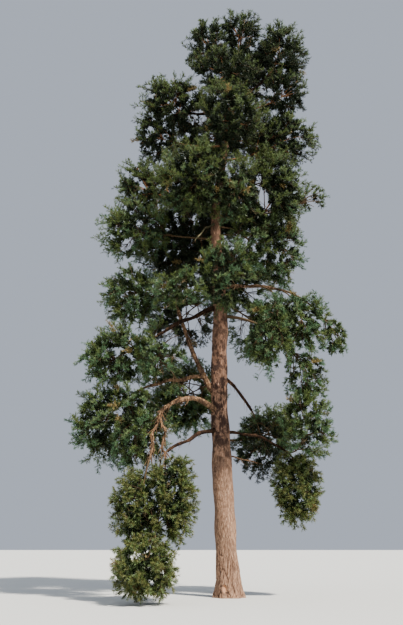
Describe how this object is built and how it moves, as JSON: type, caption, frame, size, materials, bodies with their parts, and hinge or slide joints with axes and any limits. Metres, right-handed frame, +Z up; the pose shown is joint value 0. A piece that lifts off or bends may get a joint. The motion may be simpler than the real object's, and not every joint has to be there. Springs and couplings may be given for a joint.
{
  "type": "scots pine tree",
  "caption": "Mature scots pine, one tall bare trunk with a flared foot, arching lower boughs and a narrow open crown of dark blue-green needle masses that hang to the ground on one side.",
  "frame": {"origin": "centre of the flat cut under the trunk, at ground level", "axes": "+Z up along the tree's height, +X to the right of the view in the picture, +Y away from the viewer"},
  "size_m": [9.7859, 7.9768, 22.1966],
  "materials": {
    "trunk_bark": "rough",
    "bough_bark": "rough",
    "dead_wood": "rough",
    "foliage": "matte"
  },
  "bodies": {
    "root": {"trunk": "trunk_bark", "bough_arch": "bough_bark", "bough_hang_outer": "bough_bark", "bough_hang_inner": "bough_bark", "bough_low_left": "bough_bark", "bough_steep_left": "bough_bark", "bough_fork_left": "bough_bark", "bough_mid_left": "bough_bark", "bough_right_high": "bough_bark", "bough_right_drop": "bough_bark", "bough_right_low": "bough_bark", "bough_right_thin": "bough_bark", "bough_upper_left": "bough_bark", "bough_top_right": "bough_bark", "bough_dead_front": "dead_wood", "top_left": "foliage", "top_mid": "foliage", "top_right": "foliage", "top_right_low": "foliage", "top_under": "foliage", "top_back": "foliage", "upper_left": "foliage", "upper_left_low": "foliage", "upper_front": "foliage", "upper_right": "foliage", "upper_back": "foliage", "upper_back_right": "foliage", "mid_left_front": "foliage", "mid_left_tip": "foliage", "mid_right": "foliage", "mid_right_tip": "foliage", "mid_front": "foliage", "mid_back": "foliage", "mid_back_right": "foliage", "left_tip": "foliage", "left_dark": "foliage", "right_side": "foliage", "right_inner": "foliage", "back_mid": "foliage", "front_low": "foliage", "left_front_low": "foliage", "left_low_tip": "foliage", "right_big_in": "foliage", "right_big_out": "foliage", "right_tip": "foliage", "right_fringe": "foliage", "right_back": "foliage", "left_back": "foliage", "left_big_out": "foliage", "left_big_in": "foliage", "left_low_out": "foliage", "left_low_in": "foliage", "right_hang": "foliage", "right_dark": "foliage", "right_low": "foliage", "back_low_left": "foliage", "back_low_right": "foliage", "weep_left": "foliage", "weep_right": "foliage", "weep_foot": "foliage"}
  },
  "joints": []
}
